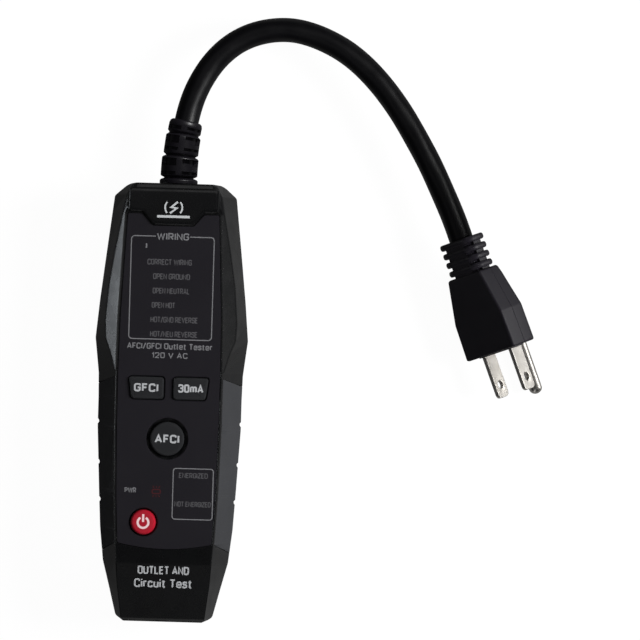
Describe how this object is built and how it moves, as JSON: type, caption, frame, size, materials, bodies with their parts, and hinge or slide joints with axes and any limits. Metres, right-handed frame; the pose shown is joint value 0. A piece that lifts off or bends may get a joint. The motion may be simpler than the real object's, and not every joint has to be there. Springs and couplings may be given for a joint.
{
  "type": "outlet tester",
  "caption": "Hand-held outlet and breaker tester: ribbed-grip plastic case with push buttons and indicator panel, and a short flexible cord ending in a moulded three-pin grounding plug.",
  "frame": {"origin": "centre of the case's flat back face", "axes": "+Z out of the face with the buttons, +Y along the case towards the cord, +X to the right of someone reading the face"},
  "size_m": [0.1648, 0.2219, 0.0352],
  "materials": {
    "shell": "semi-gloss black ABS, fine spark texture",
    "label": "satin black printed polycarbonate film",
    "key": "satin dark grey silicone-coated key",
    "red_key": "satin red key",
    "grip": "matt charcoal thermoplastic rubber",
    "cord": "semi-matt black PVC jacket",
    "plug": "moulded black PVC",
    "bridge": "dark grey nylon",
    "nickel": "bright nickel-plated brass",
    "screw": "zinc-plated steel",
    "board": "green solder mask on glass-epoxy",
    "component": "moulded epoxy",
    "ceramic": "unglazed ceramic",
    "capacitor": "printed sleeve",
    "fuse": "glass tube with plated caps",
    "lamp": "clear-topped lamp",
    "baffle": "white moulded light guide",
    "battery": "lacquered steel can",
    "wire_black": "PVC insulation",
    "wire_white": "PVC insulation",
    "wire_green": "PVC insulation",
    "wire_red": "PVC insulation"
  },
  "bodies": {
    "case": {"front_cover": "shell", "rear_cover": "shell", "label_overlay": "label", "grip_left": "grip", "grip_right": "grip", "circuit_board": "board", "led_baffle": "baffle", "wiring_led_1": "lamp", "wiring_led_2": "lamp", "wiring_led_3": "lamp", "wiring_led_4": "lamp", "wiring_led_5": "lamp", "wiring_led_6": "lamp", "energized_led": "lamp", "not_energized_led": "lamp", "power_led": "lamp", "gfci_switch": "component", "current_switch": "component", "breaker_switch": "component", "power_switch": "component", "test_resistor": "ceramic", "triac": "component", "fuse": "fuse", "capacitor": "capacitor", "microcontroller": "component", "battery_9v": "battery", "battery_snap": "component", "battery_lead_red": "wire_red", "battery_lead_black": "wire_black", "case_screw_1": "screw", "case_screw_2": "screw", "case_screw_3": "screw", "case_screw_4": "screw", "case_strain_relief": "plug", "wire_hot": "wire_black", "wire_neutral": "wire_white", "wire_ground": "wire_green"},
    "gfci_key": {"gfci_button": "key", "gfci_plunger": "lamp"},
    "current_key": {"current_button": "key", "current_plunger": "lamp"},
    "breaker_key": {"breaker_button": "key", "breaker_plunger": "lamp"},
    "power_key": {"power_button": "red_key", "power_plunger": "lamp"},
    "battery_door": {"battery_door": "shell"},
    "door_screw": {"door_screw": "screw"},
    "cord_1": {"cord_1": "cord"},
    "cord_2": {"cord_2": "cord"},
    "cord_3": {"cord_3": "cord"},
    "cord_4": {"cord_4": "cord"},
    "cord_5": {"cord_5": "cord"},
    "cord_6": {"cord_6": "cord"},
    "cord_7": {"cord_7": "cord"},
    "cord_8": {"cord_8": "cord"},
    "plug": {"plug_body": "plug", "plug_bridge": "bridge", "line_blade": "nickel", "neutral_blade": "nickel", "ground_pin": "nickel"}
  },
  "joints": [
    {"name": "gfci_press", "type": "slide", "parent": "case", "child": "gfci_key", "axis": [0, 0, -1], "range_m": [0, 0.001], "stiffness_N_per_m": 300},
    {"name": "current_press", "type": "slide", "parent": "case", "child": "current_key", "axis": [0, 0, -1], "range_m": [0, 0.001], "stiffness_N_per_m": 300},
    {"name": "breaker_press", "type": "slide", "parent": "case", "child": "breaker_key", "axis": [0, 0, -1], "range_m": [0, 0.001], "stiffness_N_per_m": 300},
    {"name": "power_press", "type": "slide", "parent": "case", "child": "power_key", "axis": [0, 0, -1], "range_m": [0, 0.001], "stiffness_N_per_m": 300},
    {"name": "battery_door_swing", "type": "hinge", "parent": "case", "child": "battery_door", "pos_m": [0, -0.012, 0.0022], "axis": [1, 0, 0], "range_deg": [0, 25]},
    {"name": "door_screw_turn", "type": "hinge", "parent": "battery_door", "child": "door_screw", "pos_m": [0, -0.0665, 0.001], "axis": [0, 0, -1], "continuous": true},
    {"name": "cord_lift", "type": "hinge", "parent": "case", "child": "cord_1", "pos_m": [0.0032, 0.10394, 0.015], "axis": [0.9812, -0.1932, 0], "range_deg": [-10, 25]},
    {"name": "cord_flex_1", "type": "hinge", "parent": "cord_1", "child": "cord_2", "pos_m": [0.01041, 0.12216, 0.015], "axis": [0.002, 0, 1], "range_deg": [-3.17, 20.55]},
    {"name": "cord_flex_2", "type": "hinge", "parent": "cord_2", "child": "cord_3", "pos_m": [0.02506, 0.1349, 0.015], "axis": [0.002, 0, 1], "range_deg": [-4, 26]},
    {"name": "cord_flex_3", "type": "hinge", "parent": "cord_3", "child": "cord_4", "pos_m": [0.04433, 0.13703, 0.015], "axis": [0.002, 0, 1], "range_deg": [-3.45, 22.37]},
    {"name": "cord_flex_4", "type": "hinge", "parent": "cord_4", "child": "cord_5", "pos_m": [0.06227, 0.12923, 0.015], "axis": [0.002, 0, 1], "range_deg": [-2.37, 15.35]},
    {"name": "cord_flex_5", "type": "hinge", "parent": "cord_5", "child": "cord_6", "pos_m": [0.07644, 0.11565, 0.015], "axis": [0.002, 0, 1], "range_deg": [-1.41, 9.11]},
    {"name": "cord_flex_6", "type": "hinge", "parent": "cord_6", "child": "cord_7", "pos_m": [0.08749, 0.09936, 0.015], "axis": [0.002, 0, 1], "range_deg": [-0.69, 4.43]},
    {"name": "cord_flex_7", "type": "hinge", "parent": "cord_7", "child": "cord_8", "pos_m": [0.09677, 0.08199, 0.015], "axis": [0.002, 0, 1], "range_deg": [-0.53, 3.39]},
    {"name": "plug_bend", "type": "hinge", "parent": "cord_8", "child": "plug", "pos_m": [0.10461, 0.06392, 0.015], "axis": [-0.9332, -0.3593, 0], "range_deg": [-20, 20]}
  ],
  "couplings": [
    {"joint": "cord_flex_1", "follows": "cord_flex_2", "ratio": 0.79},
    {"joint": "cord_flex_3", "follows": "cord_flex_2", "ratio": 0.86},
    {"joint": "cord_flex_4", "follows": "cord_flex_2", "ratio": 0.59},
    {"joint": "cord_flex_5", "follows": "cord_flex_2", "ratio": 0.35},
    {"joint": "cord_flex_6", "follows": "cord_flex_2", "ratio": 0.17},
    {"joint": "cord_flex_7", "follows": "cord_flex_2", "ratio": 0.13}
  ]
}
